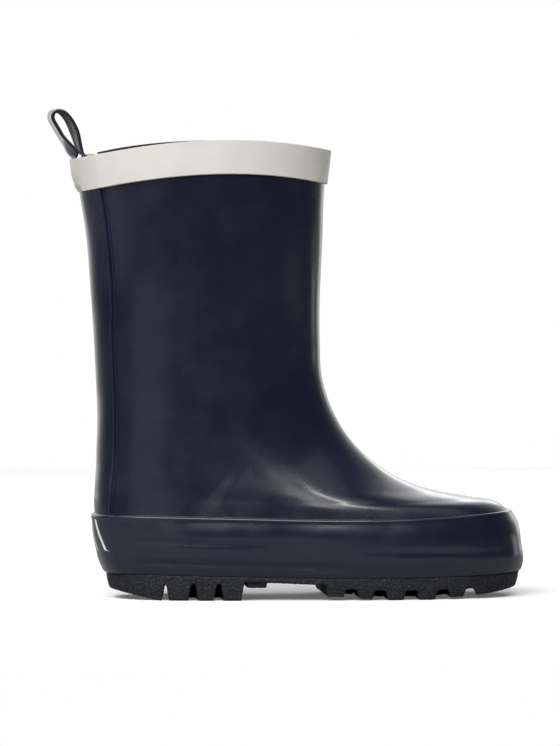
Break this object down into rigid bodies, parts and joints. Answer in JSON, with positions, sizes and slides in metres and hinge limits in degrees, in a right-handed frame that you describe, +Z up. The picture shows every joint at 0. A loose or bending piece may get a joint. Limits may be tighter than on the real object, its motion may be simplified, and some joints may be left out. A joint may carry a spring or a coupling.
{
  "type": "rubber deck boot",
  "caption": "Child's pull-on rubber deck boot with a pale rim band, a foxing band round the foot, a lugged sole, a pull loop at the back and a loose insole.",
  "frame": {"origin": "on the ground, under the middle of the boot's bounding box", "axes": "+X from the heel to the toe, +Y from the outer to the inner side of the right foot, +Z up"},
  "size_m": [0.2106, 0.0773, 0.2168],
  "materials": {
    "navy_rubber": "lacquered navy rubber, glossy",
    "pale_rubber": "off-white rubber, satin",
    "sole_rubber": "pebbled near-black rubber, matt",
    "gum_rubber": "raw rubber sheet",
    "lining_cotton": "knitted beige cotton",
    "navy_binding": "woven navy tape",
    "strap_backing": "dark olive-grey woven canvas",
    "board": "pressed fibre board",
    "foam": "pale foam",
    "insole_cloth": "dark knitted cloth"
  },
  "bodies": {
    "boot": {"outsole": "sole_rubber", "bottom_filler": "gum_rubber", "heel_wedge": "gum_rubber", "insole_board": "board", "upper_shell": "navy_rubber", "heel_counter": "gum_rubber", "vamp_reinforcement": "gum_rubber", "lining_sock": "lining_cotton", "back_stay": "navy_rubber", "foxing_band": "navy_rubber", "top_trim_band": "pale_rubber", "rim_binding": "navy_binding", "loop_outer_end": "navy_rubber", "loop_inner_end": "navy_rubber", "loop_patch": "lining_cotton"},
    "pull_loop": {"pull_loop_strap": "navy_rubber", "pull_loop_backing": "strap_backing"},
    "insole": {"insole_foam": "foam", "insole_cover": "insole_cloth"}
  },
  "joints": [
    {"name": "pull_loop_swing", "type": "hinge", "parent": "boot", "child": "pull_loop", "pos_m": [-0.0925, 0, 0.1976], "axis": [0, 1, 0], "range_deg": [-45, 70], "stiffness_Nm_per_rad": 0.006},
    {"name": "insole_lift", "type": "hinge", "parent": "boot", "child": "insole", "pos_m": [0.097, 0, 0.0165], "axis": [0, 1, 0], "range_deg": [0, 10]}
  ]
}
